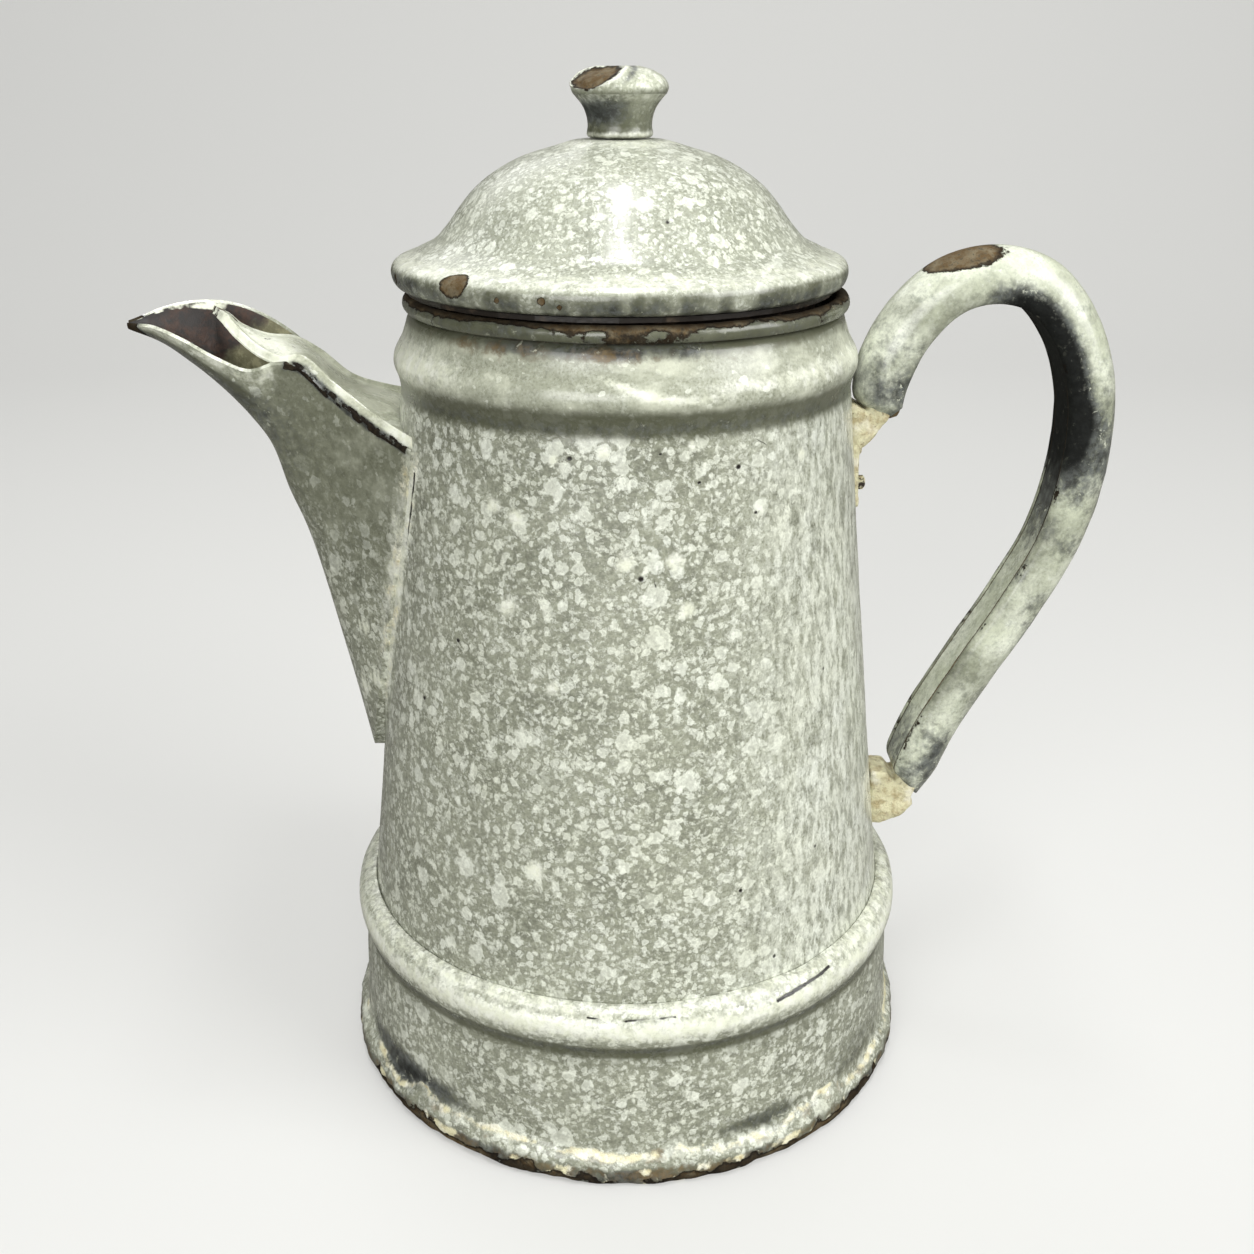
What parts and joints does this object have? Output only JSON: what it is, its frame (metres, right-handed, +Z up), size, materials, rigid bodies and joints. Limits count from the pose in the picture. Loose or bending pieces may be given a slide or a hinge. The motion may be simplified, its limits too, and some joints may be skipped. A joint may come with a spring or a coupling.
{
  "type": "coffee pot",
  "caption": "Tapered enamelled coffee pot with a lift-off domed lid and spool knob, a trough spout with an open pouring mouth, a hollow ear handle and a beaded lower band.",
  "frame": {"origin": "centre of the foot on the table, on the pot's axis", "axes": "+Z up along the pot's axis, +X toward the handle, -X toward the spout"},
  "size_m": [0.206, 0.132, 0.216],
  "materials": {
    "granite_enamel": "gloss grey enamel mottled with cream and white, worn and chipped",
    "pale_enamel": "gloss pale grey-green enamel with darker smudges",
    "cream_enamel": "rough cream enamel built up in a crust",
    "bare_steel": "bare and rusted sheet steel and iron rivets"
  },
  "bodies": {
    "pot": {"body_shell": "granite_enamel", "rim_wire": "bare_steel", "base_band": "granite_enamel", "bottom_plate": "granite_enamel", "spout_body": "granite_enamel", "spout_cover": "pale_enamel", "handle_channel": "pale_enamel", "handle_inner_strip": "pale_enamel", "handle_upper_bracket": "cream_enamel", "handle_lower_bracket": "cream_enamel", "handle_upper_rivet_high": "cream_enamel", "handle_upper_rivet_low": "cream_enamel", "handle_lower_rivet": "cream_enamel"},
    "lid": {"lid_dome": "granite_enamel", "lid_collar": "granite_enamel", "knob_neck": "granite_enamel", "knob_cap": "pale_enamel", "knob_rivet": "bare_steel", "knob_washer": "bare_steel"}
  },
  "joints": [
    {"name": "lid_lift", "type": "slide", "parent": "pot", "child": "lid", "axis": [0, 0, 1], "range_m": [0, 0.06]}
  ]
}
